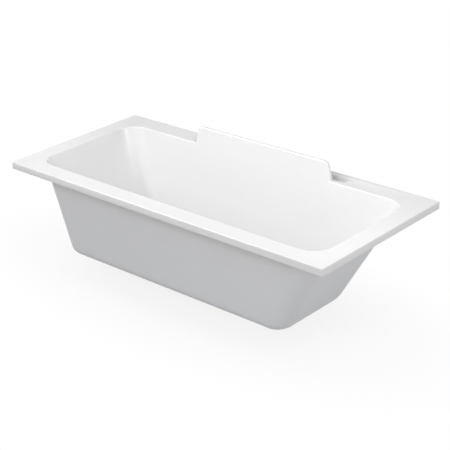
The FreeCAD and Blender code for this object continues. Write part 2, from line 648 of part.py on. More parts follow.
def make_plug():
    rim = cylinder("cap_rim", "cap_radius", "cap_height", WASTE_X, MIDDLE_Y, CAP_UNDER)
    crown = cone("cap_crown_form", "cap_radius", "cap_radius - cap_bevel", "cap_crown", WASTE_X, MIDDLE_Y,
                 f"{CAP_UNDER} + cap_height")
    piece(fuse("cap", rim, crown), "plug_cap")
    piece(ring("plug_ring", "plug_seal_outer", "plug_seal_inner", "plug_seal_height",
               f"{CAP_UNDER} - plug_seal_height"), "plug_seal")
    clip_under = f"({HUB_UNDER} - plug_lift - seat_clearance - clip_height)"
    stem_under = f"({clip_under} - clip_height)"
    stem_length = f"{CAP_UNDER} - {stem_under}"
    piece(cylinder("stem", "stem_radius", stem_length, WASTE_X, MIDDLE_Y, stem_under), "plug_stem")
    piece(ring("clip_ring", "clip_radius", "stem_radius", "clip_height", clip_under), "stem_clip")


def make_trap():
    inlet = "tail_radius - tail_wall"
    collar_under = f"({WASHER_UNDER} - trap_collar)"
    piece(ring("washer", "collar_radius - seat_clearance", inlet, "washer_height", WASHER_UNDER),
          "trap_washer")
    cup = cylinder("cup", "trap_radius", "trap_height", WASTE_X, MIDDLE_Y, "trap_floor_gap")
    neck = cylinder("neck", "neck_radius", f"{collar_under} - {TRAP_TOP} + trap_wall", WASTE_X, MIDDLE_Y,
                    f"{TRAP_TOP} - trap_wall")
    collar = cylinder("neck_collar", "collar_radius", "trap_collar", WASTE_X, MIDDLE_Y, collar_under)
    socket_outside = "(pipe_radius + thread_clearance + socket_wall)"
    socket = cylinder("socket", socket_outside, "socket_reach", WASTE_X, MIDDLE_Y, "pipe_level", True)
    chamber = cylinder("chamber", "trap_radius - trap_wall", "trap_height - 2 * trap_wall", WASTE_X, MIDDLE_Y,
                       "trap_floor_gap + trap_wall")
    drop = cylinder("inlet", inlet, f"{WASHER_UNDER} - {TRAP_TOP} + 2 * trap_wall", WASTE_X, MIDDLE_Y,
                    f"{TRAP_TOP} - 2 * trap_wall")
    pipe_bore = "(pipe_radius - pipe_wall)"
    passage = cylinder("passage", pipe_bore, "socket_reach", WASTE_X, MIDDLE_Y, "pipe_level", True)
    seat_y = f"({MIDDLE_Y} + socket_reach - socket_depth)"
    seat = cylinder("socket_seat", "pipe_radius + thread_clearance", "socket_depth", WASTE_X, seat_y,
                    "pipe_level", True)
    blank = fuse("trap_blank", cup, neck, collar, socket)
    piece(cut("trap", blank, chamber, drop, passage, seat), "trap_body")

    nut_low = f"({TAIL_UNDER} - nut_skirt)"
    nut = cylinder("trap_nut_blank", "collar_radius + seat_clearance + nut_wall", "nut_skirt + nut_grip",
                   WASTE_X, MIDDLE_Y, nut_low)
    thread = cylinder("trap_nut_thread", "tail_radius", "nut_grip", WASTE_X, MIDDLE_Y, TAIL_UNDER)
    skirt = cylinder("trap_nut_skirt", "collar_radius + seat_clearance", "nut_skirt", WASTE_X, MIDDLE_Y,
                     nut_low)
    piece(cut("union_nut", nut, thread, skirt), "trap_nut")

    mouth_y = f"({MIDDLE_Y} + socket_reach)"
    nut_end = f"({mouth_y} + outlet_seal_height + outlet_nut_lip)"
    mark_y = f"({nut_end} + mark_gap)"
    pipe_length = "pipe_reach - socket_reach + socket_depth"
    pipe = cylinder("pipe", "pipe_radius", pipe_length, WASTE_X, seat_y, "pipe_level", True)
    hollow = cylinder("pipe_hollow", pipe_bore, pipe_length, WASTE_X, seat_y, "pipe_level", True)
    band = cylinder("mark_band", "pipe_radius + pipe_wall", "mark_width", WASTE_X, mark_y,
                    "pipe_level", True)
    root = cylinder("mark_root", "pipe_radius - mark_depth", "mark_width", WASTE_X, mark_y,
                    "pipe_level", True)
    piece(cut("pipe_tube", pipe, hollow, cut("insertion_mark", band, root)), "outlet_pipe")

    seal = cylinder("outlet_ring", socket_outside, "outlet_seal_height", WASTE_X, mouth_y, "pipe_level", True)
    seal_bore = cylinder("outlet_ring_bore", "pipe_radius", "outlet_seal_height", WASTE_X, mouth_y,
                         "pipe_level", True)
    piece(cut("outlet_gasket", seal, seal_bore), "outlet_seal")

    nut_y = f"({nut_end} - outlet_nut_length)"
    blank = cylinder("outlet_nut_blank", f"{socket_outside} + nut_wall", "outlet_nut_length", WASTE_X, nut_y,
                     "pipe_level", True)
    over = cylinder("outlet_nut_over", f"{socket_outside} + thread_clearance",
                    "outlet_nut_length - outlet_nut_lip", WASTE_X, nut_y, "pipe_level", True)
    lip = cylinder("outlet_nut_bore", "pipe_radius + seat_clearance", "outlet_nut_length", WASTE_X, nut_y,
                   "pipe_level", True)
    piece(cut("outlet_collar", blank, over, lip), "outlet_nut")


make_acrylic_shell()
make_backing()
make_battens()
make_board()
for end, x in CRADLES.items():
    make_cradle(end, x)
    for row, y in ROWS.items():
        make_foot(end, row, x, y)
make_waste()
make_plug()
make_trap()
doc.recompute()

for item in doc.Objects:
    if {"Invalid", "Error"} & set(item.State):
        raise RuntimeError(f"{item.Label} failed: {item.State}")
for item in pieces:
    if item.Shape.isNull() or not item.Shape.isValid():
        raise RuntimeError(f"{item.Label} has no sound shape")

os.makedirs("parts", exist_ok=True)
for item in pieces:
    item.Shape.exportStep(f"parts/{item.Label}.step")
    print(item.Label, len(item.Shape.Solids), round(item.Shape.Volume))
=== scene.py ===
import json
import math

import bmesh
import bpy
from bpy.props import FloatProperty, FloatVectorProperty, IntProperty, PointerProperty
from mathutils import Matrix, Vector


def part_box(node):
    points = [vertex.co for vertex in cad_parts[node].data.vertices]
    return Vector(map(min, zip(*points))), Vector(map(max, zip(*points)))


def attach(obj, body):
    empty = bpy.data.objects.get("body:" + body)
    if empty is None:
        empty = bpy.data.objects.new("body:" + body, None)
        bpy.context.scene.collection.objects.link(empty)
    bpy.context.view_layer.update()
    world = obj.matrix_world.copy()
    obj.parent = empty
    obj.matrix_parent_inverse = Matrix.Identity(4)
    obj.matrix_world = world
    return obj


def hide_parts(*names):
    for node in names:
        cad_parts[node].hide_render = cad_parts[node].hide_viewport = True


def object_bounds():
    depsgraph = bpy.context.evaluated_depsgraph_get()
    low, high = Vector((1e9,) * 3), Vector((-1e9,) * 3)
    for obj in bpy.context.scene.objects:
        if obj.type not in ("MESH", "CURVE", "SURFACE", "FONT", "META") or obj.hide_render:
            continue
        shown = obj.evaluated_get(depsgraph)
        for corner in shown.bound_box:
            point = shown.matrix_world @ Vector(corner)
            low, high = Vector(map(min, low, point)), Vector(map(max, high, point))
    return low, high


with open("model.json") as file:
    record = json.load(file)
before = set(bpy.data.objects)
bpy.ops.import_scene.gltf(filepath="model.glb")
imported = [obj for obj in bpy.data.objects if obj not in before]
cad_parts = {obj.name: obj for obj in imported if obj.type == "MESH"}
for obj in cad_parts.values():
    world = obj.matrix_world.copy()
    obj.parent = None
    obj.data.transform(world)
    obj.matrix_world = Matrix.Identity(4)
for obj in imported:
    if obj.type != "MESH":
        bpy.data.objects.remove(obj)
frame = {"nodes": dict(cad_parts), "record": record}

bl_info = {
    "name": "Acrylic bath",
    "version": (1, 0, 0),
    "blender": (4, 5, 0),
    "location": "View3D > Sidebar > Bath",
    "description": "Finishes, fittings and studio of a built-in acrylic bath",
    "category": "Object",
}

CAD_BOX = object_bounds()
SLOTS = {row["node"]: row["material_slot"] for row in frame["record"]["subparts"]}
BODIES = {node: body for body, nodes in frame["record"]["behaviour"]["bodies"].items() for node in nodes}
SPOTS = [name[len("foot_pad_"):] for name in sorted(frame["nodes"]) if name.startswith("foot_pad_")]

MM = 0.001
# Points closer than this are one point
WELD = 0.002 * MM

# Edges that turn by more than this many degrees are shaded sharp
CREASE = 32
DOME_CREASE = 50
SHEET_CREASE = 60

# Steps of a broken edge, a turned piece's corner, a bend in steel, a hexagon and one turn of a thread
EDGE_STEPS = 2
CORNER_STEPS = 4
BEND_STEPS = 5
HEX_STEPS = 72
THREAD_STEPS = 28

# Thread from root to root: share of its depth, share of its pitch
THREAD_SHARES = ((0, 0), (1, 0.4), (1, 0.52), (0, 0.92), (0, 1))
# Sole from its rim to its middle: share of its radius, share of a groove's depth
SOLE_SHARES = ((1, 0), (0.8, 0), (0.76, 1), (0.66, 1), (0.62, 0), (0.46, 0), (0.42, 1), (0, 1))
# Plug cap from its underside to its top: share of its radius, share of its height
CAP_SHARES = ((0, 0), (1, 0), (1, 0.45), (0.82, 0.86), (0.45, 0.98), (0, 1))
# Foot pad: share of its height at the shoulder, share of its radius at the top
PAD_SHOULDER = 0.4
PAD_TOP = 0.62
# Share of the way from flat to corner that a hexagon's chamfer is high
HEX_CHAMFER = 0.5

# Lamps: name, setting of the power, and in metres where it stands, what it shines at and its sides
LAMPS = (
    ("rim_box", "rim", (0.55, -0.41, 1.15), (0.55, 0.3, 0.69), (3.2, 0.35)),
    ("deck_box", "deck", (1.05, 0, 1.15), (0.9, 0, 0.55), (1.0, 0.25)),
    ("front_box", "front", (0.4, -4.2, 3.2), (0, 0, 0.4), (2.6, 1.8)),
    ("head_box", "head", (4.4, -0.4, 1.3), (0.6, 0, 0.3), (1.8, 1.2)),
    ("back_box", "back", (0, 4.4, 1.0), (0, 0, 0.3), (2.4, 1.2)),
    ("foot_box", "foot", (-4.6, -0.2, 1.0), (-0.6, 0, 0.3), (1.8, 1.2)),
    ("key_box", "key", (-1.75, -2.2, 2.9), (-0.2, 0.1, 0.4), (0.12, 0.12)),
    ("glint_strip", "glint", (-3.7, -3.0, 4.0), (0, 0.2, 0.55), (1.6, 0.8)),
)
WHITE = (1, 1, 1, 1)

# Floor's fade to white: its start and end in half sizes of the bath, and its share at the start
FADE_START = 0.7
FADE_END = 1.8
FADE_LEAST = 0.85

# Width of the camera's frame in millimetres, and how far it sees in metres
CAMERA_FRAME = 36
CAMERA_REACH = 100


def linear(code):
    """An sRGB hex colour as linear red, green and blue."""
    channels = [int(code[i:i + 2], 16) / 255 for i in (0, 2, 4)]
    return [c / 12.92 if c <= 0.04045 else ((c + 0.055) / 1.055) ** 2.4 for c in channels]


def colour(label, note, code):
    """A colour setting, given as an sRGB hex colour."""
    return FloatVectorProperty(name=label, description=note, subtype="COLOR", size=3, min=0, max=1,
                               default=linear(code))


def length(label, note, size):
    """A length setting, given in millimetres."""
    return FloatProperty(name=label, description=note, unit="LENGTH", default=size * MM, precision=5)


def angle(label, note, degrees):
    """An angle setting, given in degrees."""
    return FloatProperty(name=label, description=note, unit="ROTATION", default=math.radians(degrees))


def power(label, note, watts):
    """A lamp's power setting."""
    return FloatProperty(name=label, description=note, unit="POWER", default=watts, min=0)


class BathFinishes(bpy.types.PropertyGroup):
    """Colours of the bath's materials"""

    acrylic: colour("Acrylic", "polished white sheet", "F1F1F1")
    laminate: colour("Laminate", "resin and glass strands behind the sheet", "F3F4F7")
    timber: colour("Timber", "sawn softwood battens", "D9BD8C")
    timber_dark: colour("Timber grain", "late wood lines of the battens", "B98F58")
    board: colour("Board", "pressed wood flakes", "C3A173")
    board_dark: colour("Board flakes", "darker flakes of the board", "8E6B42")
    zinc: colour("Zinc", "zinc-plated steel", "B9BCC0")
    chrome: colour("Chrome", "polished plating", "DADCDE")
    brass: colour("Brass", "turned stem", "B9924A")
    nylon: colour("Nylon", "moulded foot pads", "26272A")
    rubber: colour("Rubber", "seals and soles", "151516")
    pipe: colour("Pipe", "moulded white fittings", "E4E4E0")


class BathFittings(bpy.types.PropertyGroup):
    """Fine sizes of the fittings that the frame leaves plain"""

    pitch: length("Thread pitch", "foot screw thread", 1.75)
    thread_depth: length("Thread depth", "crest to root of the foot screw", 1.05)
    rod: length("Rod radius", "crest of the foot screw", 5.98)
    journal: length("Journal radius", "end of the foot screw in its pad", 5)
    journal_end: length("Journal chamfer", "broken end of the foot screw in its pad", 1.2)
    play: length("Play", "gap round the end of a foot screw in its pad", 0.05)
    seat_gap: length("Seat gap", "gap between a foot pad and the collar above it", 0.3)
    collar: length("Collar height", "drive hexagon on the foot screw", 7)
    collar_flats: length("Collar flats", "drive hexagon across flats", 17)
    nut_flats: length("Nut flats", "nuts across flats", 18)
    nut_bore: length("Nut bore", "radius of the bore round the thread in a nut or a cradle", 6.05)
    tail_bore: length("Tail bore", "radius of the back nut's bore round the waste tail", 23)
    pad_edge: length("Pad edge", "rounded edges of a foot pad", 1.1)
    groove: length("Sole groove", "depth of the ring grooves in a sole", 1)
    sole_edge: length("Sole edge", "rounded edges of a sole", 0.35)
    cap_edge: length("Cap edge", "rounded edges of the plug cap", 0.9)
    steel: length("Cradle steel", "sheet thickness of the cradles", 2)
    bend: length("Cradle bend", "bend of the cradles, in the middle of the sheet", 3)
    channel: length("Cradle channel", "width of the cradle's channel", 40)
    soft_edge: length("Soft edge", "broken edge of a batten", 1.5)
    rib: length("Grip rib", "height of the ribs on a hand nut", 0.9)
    ribs: IntProperty(name="Grip ribs", description="ribs round a hand nut", default=24, min=6)
    turns: IntProperty(name="Round steps", description="segments of a turned piece", default=64, min=16)


class BathStudio(bpy.types.PropertyGroup):
    """Camera and light"""

    azimuth: angle("Azimuth", "camera heading from the open front towards the head end", 42.431)
    elevation: angle("Elevation", "camera height angle", 24.491)
    roll: angle("Roll", "camera roll", -2.037)
    place: FloatVectorProperty(name="Camera place", description="where the camera stands", unit="LENGTH",
                               subtype="XYZ_LENGTH", size=3, default=(3.4877, -3.7603, 2.6668))
    lens: FloatProperty(name="Lens", description="focal length in millimetres on the camera's frame",
                        unit="CAMERA", default=101.288)
    sky: FloatProperty(name="Sky", description="strength of the even light", default=0.45, min=0)
    rim: power("Rim box", "soft box over the front rim", 5.4)
    deck: power("Deck box", "soft box over the head end's deck", 0.55)
    front: power("Front box", "soft box in front", 54)
    head: power("Head box", "soft box at the head end", 23)
    back: power("Back box", "soft box on the wall side", 30)
    foot: power("Foot box", "soft box at the foot end", 8)
    key: power("Key box", "small hard box that shadows the well's foot end", 26)
    glint: power("Glint strip", "strip that only shows as a line of gloss on rounded edges", 220)
    paper: colour("Paper", "light that the floor throws back", "BBBBBB")
    paper_seen: colour("Paper in view", "floor as it shows, where the bath's shadow falls", "FAFAFA")
    floor_size: length("Floor", "side of the studio floor", 40000)


# Materials

def add(tree, kind, inputs=None, **settings):
    """Add a node with its settings; an input takes a value or another node's output."""
    item = tree.nodes.new(kind)
    for name, value in settings.items():
        setattr(item, name, value)
    for socket, value in (inputs or {}).items():
        if isinstance(value, bpy.types.NodeSocket):
            tree.links.new(value, item.inputs[socket])
        else:
            item.inputs[socket].default_value = value
    return item


def new_finish(name):
    """An empty material, its nodes, and the place of a point in metres."""
    finish = bpy.data.materials.new(name)
    finish.use_nodes = True
    tree = finish.node_tree
    tree.nodes.clear()
    return finish, tree, add(tree, "ShaderNodeTexCoord").outputs["Object"]


def waves(size):
    """Texture scale whose features repeat about every size, given in millimetres."""
    return 1 / (size * MM)


def tone(shade, share=1.0):
    """A colour as a node takes it, at a share of its brightness."""
    return (*(channel * share for channel in shade), 1)


def polished_acrylic(colours):
    """Cast acrylic sheet, vacuum formed over a mould."""
    # Deep white gloss on a skin that the mould leaves barely uneven
    finish, tree, place_of = new_finish("polished_acrylic")
    cloud = add(tree, "ShaderNodeTexNoise", {"Vector": place_of, "Scale": waves(260), "Detail": 2.0})
    tint = add(tree, "ShaderNodeMix", {
        "Factor": cloud.outputs["Fac"], "A": tone(colours.acrylic, 0.985), "B": tone(colours.acrylic),
    }, data_type="RGBA")
    gloss = add(tree, "ShaderNodeMapRange", {"Value": cloud.outputs["Fac"], "To Min": 0.16, "To Max": 0.22})
    skin = add(tree, "ShaderNodeTexNoise", {"Vector": place_of, "Scale": waves(14), "Detail": 1.0})
    relief = add(tree, "ShaderNodeBump", {
        "Height": skin.outputs["Fac"], "Distance": 0.03 * MM, "Strength": 0.25,
    })
    shader = add(tree, "ShaderNodeBsdfPrincipled", {
        "Base Color": tint.outputs["Result"], "Roughness": gloss.outputs["Result"], "IOR": 1.49,
        "Normal": relief.outputs["Normal"],
    })
    add(tree, "ShaderNodeOutputMaterial", {"Surface": shader.outputs["BSDF"]})
    return finish


def rolled_laminate(colours):
    """Resin sprayed with chopped glass and rolled flat."""
    # Dull pale grey with short strands that cross under the skin
    # A real strand is under 1 mm wide, and is drawn 2.4 mm wide so that it shows
    finish, tree, place_of = new_finish("rolled_laminate")
    # Three layers cross, and are tilted in radians so that they show as strands on every wall
    tilt = (0.7, 0.4)
    strands = None
    for heading in (17, 63, 118):
        lay = add(tree, "ShaderNodeMapping", {
            "Vector": place_of, "Rotation": (*tilt, math.radians(heading)),
            "Scale": (waves(34), waves(2.4), waves(2.4)),
        })
        layer = add(tree, "ShaderNodeTexNoise", {
            "Vector": lay.outputs["Vector"], "Scale": 1.0, "Detail": 1.0,
        })
        if strands is None:
            strands = layer.outputs["Fac"]
        else:
            over = add(tree, "ShaderNodeMath", {0: strands, 1: layer.outputs["Fac"]}, operation="MAXIMUM")
            strands = over.outputs["Value"]
    cloud = add(tree, "ShaderNodeTexNoise", {"Vector": place_of, "Scale": waves(180), "Detail": 3.0})
    depth = add(tree, "ShaderNodeMapRange", {
        "Value": strands, "From Min": 0.45, "From Max": 0.8, "To Min": 0.0, "To Max": 0.35,
    })
    shade = add(tree, "ShaderNodeMath", {0: depth.outputs["Result"], 1: cloud.outputs["Fac"]},
                operation="MULTIPLY")
    tint = add(tree, "ShaderNodeMix", {
        "Factor": shade.outputs["Value"], "A": tone(colours.laminate), "B": tone(colours.laminate, 0.8),
    }, data_type="RGBA")
    relief = add(tree, "ShaderNodeBump", {"Height": strands, "Distance": 0.12 * MM, "Strength": 0.35})
    shader = add(tree, "ShaderNodeBsdfPrincipled", {
        "Base Color": tint.outputs["Result"], "Roughness": 0.55, "IOR": 1.52,
        "Normal": relief.outputs["Normal"],
    })
    add(tree, "ShaderNodeOutputMaterial", {"Surface": shader.outputs["BSDF"]})
    return finish


def sawn_pine(colours, name, stretch):
    """Softwood as it comes from the saw, its grain drawn out by the stretch."""
    # Long grain lines on a fuzzy face
    # The fuzz is really finer than half a millimetre, and is drawn at 1.5 mm so that it shows
    finish, tree, place_of = new_finish(name)
    lay = add(tree, "ShaderNodeMapping", {"Vector": place_of, "Scale": stretch})
    grain = add(tree, "ShaderNodeTexNoise", {
        "Vector": lay.outputs["Vector"], "Scale": 1.0, "Detail": 4.0, "Distortion": 0.6,
    })
    lines = add(tree, "ShaderNodeMapRange", {
        "Value": grain.outputs["Fac"], "From Min": 0.38, "From Max": 0.66,
    })
    tint = add(tree, "ShaderNodeMix", {
        "Factor": lines.outputs["Result"], "A": tone(colours.timber), "B": tone(colours.timber_dark),
    }, data_type="RGBA")
    fuzz = add(tree, "ShaderNodeTexNoise", {"Vector": place_of, "Scale": waves(1.5), "Detail": 2.0})
    relief = add(tree, "ShaderNodeBump", {
        "Height": fuzz.outputs["Fac"], "Distance": 0.2 * MM, "Strength": 0.4,
    })
    shader = add(tree, "ShaderNodeBsdfPrincipled", {
        "Base Color": tint.outputs["Result"], "Roughness": 0.75, "Normal": relief.outputs["Normal"],
    })
    add(tree, "ShaderNodeOutputMaterial", {"Surface": shader.outputs["BSDF"]})
    return finish


def sawn_pine_long(colours):
    """Pine with its grain along the bath."""
    return sawn_pine(colours, "sawn_pine_long", (waves(420), waves(9), waves(9)))


def sawn_pine_cross(colours):
    """Pine with its grain across the bath."""
    return sawn_pine(colours, "sawn_pine_cross", (waves(9), waves(420), waves(9)))


def pressed_board(colours):
    """Flake board, pressed flat from wood chips of a few millimetres."""
    # Each flake is a little lighter or darker than the next
    finish, tree, place_of = new_finish("pressed_board")
    lay = add(tree, "ShaderNodeMapping", {"Vector": place_of, "Scale": (waves(11), waves(7), waves(5))})
    flakes = add(tree, "ShaderNodeTexVoronoi", {
        "Vector": lay.outputs["Vector"], "Scale": 1.0, "Randomness": 1.0,
    })
    tint = add(tree, "ShaderNodeMix", {
        "Factor": flakes.outputs["Color"], "A": tone(colours.board), "B": tone(colours.board_dark),
    }, data_type="RGBA")
    relief = add(tree, "ShaderNodeBump", {
        "Height": flakes.outputs["Distance"], "Distance": 0.15 * MM, "Strength": 0.3,
    })
    shader = add(tree, "ShaderNodeBsdfPrincipled", {
        "Base Color": tint.outputs["Result"], "Roughness": 0.68, "Normal": relief.outputs["Normal"],
    })
    add(tree, "ShaderNodeOutputMaterial", {"Surface": shader.outputs["BSDF"]})
    return finish


def zinc_plate(colours):
    """Bright zinc on rolled steel."""
    # Soft grey metal with a fine spangle and dulled patches
    finish, tree, place_of = new_finish("zinc_plate")
    spangle = add(tree, "ShaderNodeTexVoronoi", {"Vector": place_of, "Scale": waves(3.5), "Randomness": 1.0})
    cloud = add(tree, "ShaderNodeTexNoise", {"Vector": place_of, "Scale": waves(22), "Detail": 3.0})
    tint = add(tree, "ShaderNodeMix", {
        "Factor": cloud.outputs["Fac"], "A": tone(colours.zinc), "B": tone(colours.zinc, 0.78),
    }, data_type="RGBA")
    dull = add(tree, "ShaderNodeMapRange", {
        "Value": spangle.outputs["Distance"], "To Min": 0.3, "To Max": 0.48,
    })
    shader = add(tree, "ShaderNodeBsdfPrincipled", {
        "Base Color": tint.outputs["Result"], "Metallic": 1.0, "Roughness": dull.outputs["Result"],
    })
    add(tree, "ShaderNodeOutputMaterial", {"Surface": shader.outputs["BSDF"]})
    return finish


def chrome_plate(colours):
    """Chrome plating, polished."""
    # Mirror bright with a few dulled places
    # Polishing marks are really hair fine, and are drawn as patches of 5 mm so that they show
    finish, tree, place_of = new_finish("chrome_plate")
    marks = add(tree, "ShaderNodeTexNoise", {"Vector": place_of, "Scale": waves(5), "Detail": 4.0})
    dull = add(tree, "ShaderNodeMapRange", {"Value": marks.outputs["Fac"], "To Min": 0.04, "To Max": 0.11})
    shader = add(tree, "ShaderNodeBsdfPrincipled", {
        "Base Color": tone(colours.chrome), "Metallic": 1.0, "Roughness": dull.outputs["Result"],
    })
    add(tree, "ShaderNodeOutputMaterial", {"Surface": shader.outputs["BSDF"]})
    return finish


def turned_brass(colours):
    """Brass turned on a lathe."""
    # Warm metal with the rings of the lathe's tool
    # The rings are really a fraction of a millimetre apart, and are drawn 3.77 mm apart so that they show
    finish, tree, place_of = new_finish("turned_brass")
    # The wave texture goes through 20 radians of its wave in one unit
    rings = add(tree, "ShaderNodeTexWave", {
        "Vector": place_of, "Scale": waves(3.77) * math.tau / 20, "Distortion": 0.3,
    }, bands_direction="Z")
    relief = add(tree, "ShaderNodeBump", {
        "Height": rings.outputs["Fac"], "Distance": 0.02 * MM, "Strength": 0.4,
    })
    dull = add(tree, "ShaderNodeMapRange", {"Value": rings.outputs["Fac"], "To Min": 0.2, "To Max": 0.3})
    shader = add(tree, "ShaderNodeBsdfPrincipled", {
        "Base Color": tone(colours.brass), "Metallic": 1.0, "Roughness": dull.outputs["Result"],
        "Normal": relief.outputs["Normal"],
    })
    add(tree, "ShaderNodeOutputMaterial", {"Surface": shader.outputs["BSDF"]})
    return finish


def moulded(name, shade, grain, rough, spread, ior):
    """Plastic or rubber from a spark-eroded mould, with its grain in millimetres."""
    # One tone with a fine grain and patches of lower sheen
    # The grain is really about a tenth of a millimetre, and is drawn coarser so that it shows
    finish, tree, place_of = new_finish(name)
    grit = add(tree, "ShaderNodeTexNoise", {"Vector": place_of, "Scale": waves(grain), "Detail": 2.0})
    cloud = add(tree, "ShaderNodeTexNoise", {"Vector": place_of, "Scale": waves(30), "Detail": 2.0})
    tint = add(tree, "ShaderNodeMix", {
        "Factor": cloud.outputs["Fac"], "A": tone(shade), "B": tone(shade, 0.9),
    }, data_type="RGBA")
    dull = add(tree, "ShaderNodeMapRange", {
        "Value": cloud.outputs["Fac"], "To Min": rough, "To Max": rough + spread,
    })
    relief = add(tree, "ShaderNodeBump", {
        "Height": grit.outputs["Fac"], "Distance": 0.05 * MM, "Strength": 0.3,
    })
    shader = add(tree, "ShaderNodeBsdfPrincipled", {
        "Base Color": tint.outputs["Result"], "Roughness": dull.outputs["Result"], "IOR": ior,
        "Normal": relief.outputs["Normal"],
    })
    add(tree, "ShaderNodeOutputMaterial", {"Surface": shader.outputs["BSDF"]})
    return finish


def moulded_nylon(colours):
    """Nylon of the foot pads: near black with a low sheen."""
    return moulded("moulded_nylon", colours.nylon, grain=0.8, rough=0.42, spread=0.12, ior=1.53)


def moulded_rubber(colours):
    """Rubber of the seals and soles: black and dull."""
    return moulded("moulded_rubber", colours.rubber, grain=0.5, rough=0.68, spread=0.12, ior=1.52)


def moulded_polypropylene(colours):
    """Polypropylene of the trap and its nuts: warm white with a satin sheen."""
    return moulded("moulded_polypropylene", colours.pipe, grain=1.2, rough=0.34, spread=0.1, ior=1.49)


FINISHES = {
    "white_acrylic": polished_acrylic,
    "glass_fibre": rolled_laminate,
    "pale_timber": sawn_pine_long,
    "board": pressed_board,
    "zinc_steel": zinc_plate,
    "chrome": chrome_plate,
    "brass": turned_brass,
    "dark_plastic": moulded_nylon,
    "black_rubber": moulded_rubber,
    "white_pipe": moulded_polypropylene,
}


def made(finish):
    """The material that a finish's function makes, made once."""
    return bpy.data.materials.get(finish.__name__) or finish(bpy.context.scene.bath_finishes)


def dress(*nodes):
    """Give CAD nodes the material of their record slot."""
    for node in nodes:
        mesh = frame["nodes"][node].data
        mesh.materials.clear()
        mesh.materials.append(made(FINISHES[SLOTS[node]]))


# Shapes

def middle(node):
    """A node's axis on the floor, and its lowest and highest level."""
    low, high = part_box(node)
    return ((low.x + high.x) / 2, (low.y + high.y) / 2, 0), low.z, high.z


def half_width(node):
    """Half of a node's size along the bath, which is the radius of a round one."""
    low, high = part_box(node)
    return (high.x - low.x) / 2


def turn(bm, points, rounding=0.0, closed=True, steps=None):
    """Spin a profile of radius and height round the Z axis, its corners rounded first."""
    corners = [bm.verts.new((radius, 0, height)) for radius, height in points]
    pairs = list(zip(corners, corners[1:] + corners[:1]))
    for pair in (pairs if closed else pairs[:-1]):
        bm.edges.new(pair)
    if rounding:
        inner = [corner for corner in corners if len(corner.link_edges) == 2]
        bmesh.ops.bevel(bm, geom=inner, offset=rounding, offset_type="OFFSET", segments=CORNER_STEPS,
                        profile=0.5, affect="VERTICES", material=-1)
    bmesh.ops.spin(bm, geom=bm.verts[:] + bm.edges[:], cent=(0, 0, 0), axis=(0, 0, 1), angle=math.tau,
                   steps=steps or bpy.context.scene.bath_fittings.turns, use_merge=True)
    bmesh.ops.remove_doubles(bm, verts=bm.verts, dist=WELD)
    bmesh.ops.recalc_face_normals(bm, faces=bm.faces)


def thread(bm, low, high, crest, depth, pitch):
    """A screw thread between two heights, closed at both ends."""
    root, start = crest - depth, low - pitch
    verts = [bm.verts.new((root + rise * depth, 0, start + share * pitch)) for rise, share in THREAD_SHARES]
    edges = [bm.edges.new(pair) for pair in zip(verts, verts[1:])]
    turns = math.ceil((high - low) / pitch) + 1
    bmesh.ops.spin(bm, geom=verts + edges, cent=(0, 0, 0), axis=(0, 0, 1), dvec=(0, 0, pitch / THREAD_STEPS),
                   angle=math.tau * turns, steps=THREAD_STEPS * turns, use_merge=False)
    bmesh.ops.remove_doubles(bm, verts=bm.verts, dist=WELD)
    for level, way in ((low, -1), (high, 1)):
        bmesh.ops.bisect_plane(bm, geom=bm.verts[:] + bm.edges[:] + bm.faces[:], plane_co=(0, 0, level),
                               plane_no=(0, 0, way), clear_outer=True)
        rim = [edge for edge in bm.edges
               if edge.is_boundary and all(abs(vert.co.z - level) < WELD for vert in edge.verts)]
        bmesh.ops.holes_fill(bm, edges=rim, sides=0)
    bmesh.ops.recalc_face_normals(bm, faces=bm.faces)


def hexagon(bm, low, high, flats, bore):
    """A hexagon nut: turned with chamfered ends, its side then pulled in to six flats."""
    reach, corner = flats / 2, flats / math.sqrt(3)
    chamfer = HEX_CHAMFER * (corner - reach)
    turn(bm, [(bore, low), (reach, low), (corner, low + chamfer), (corner, high - chamfer), (reach, high),
              (bore, high)], steps=HEX_STEPS)
    sixth = math.tau / 6
    for vert in bm.verts:
        radius = math.hypot(vert.co.x, vert.co.y)
        around = math.atan2(vert.co.y, vert.co.x) % sixth - sixth / 2
        flat = reach / math.cos(around)
        if radius > flat:
            vert.co.x *= flat / radius
            vert.co.y *= flat / radius


def merged(bm, node):
    """A CAD node's mesh with its loose triangles merged."""
    bm.from_mesh(frame["nodes"][node].data)
    bmesh.ops.remove_doubles(bm, verts=bm.verts, dist=WELD)


def grip(bm, node, along, rib, count):
    """Moulded grip ribs round a hand nut, half sunk in it, along its axis."""
    low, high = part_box(node)
    size = high - low
    axis = "XYZ".index(along)
    radius = min(size[other] for other in range(3) if other != axis) / 2
    for step in range(count):
        bar = bmesh.ops.create_cube(bm, size=1)["verts"]
        bmesh.ops.scale(bm, verts=bar, vec=(2 * rib, 2 * rib, size[axis] - 4 * rib))
        bmesh.ops.translate(bm, verts=bar, vec=(radius, 0, 0))
        bmesh.ops.rotate(bm, verts=bar, matrix=Matrix.Rotation(math.tau * step / count, 3, "Z"))
    bmesh.ops.bevel(bm, geom=bm.edges[:], offset=rib / 2, segments=EDGE_STEPS, profile=0.5, affect="EDGES",
                    material=-1)
    if along == "Y":
        bmesh.ops.rotate(bm, verts=bm.verts, matrix=Matrix.Rotation(-math.pi / 2, 3, "X"))
    bmesh.ops.translate(bm, verts=bm.verts, vec=(low + high) / 2)


def joined(*shapes):
    """One bmesh from several, each made by its own function."""
    whole = bmesh.new()
    for shape in shapes:
        part = bmesh.new()
        shape(part)
        mesh = bpy.data.meshes.new("draft")
        part.to_mesh(mesh)
        part.free()
        whole.from_mesh(mesh)
        bpy.data.meshes.remove(mesh)
    return whole


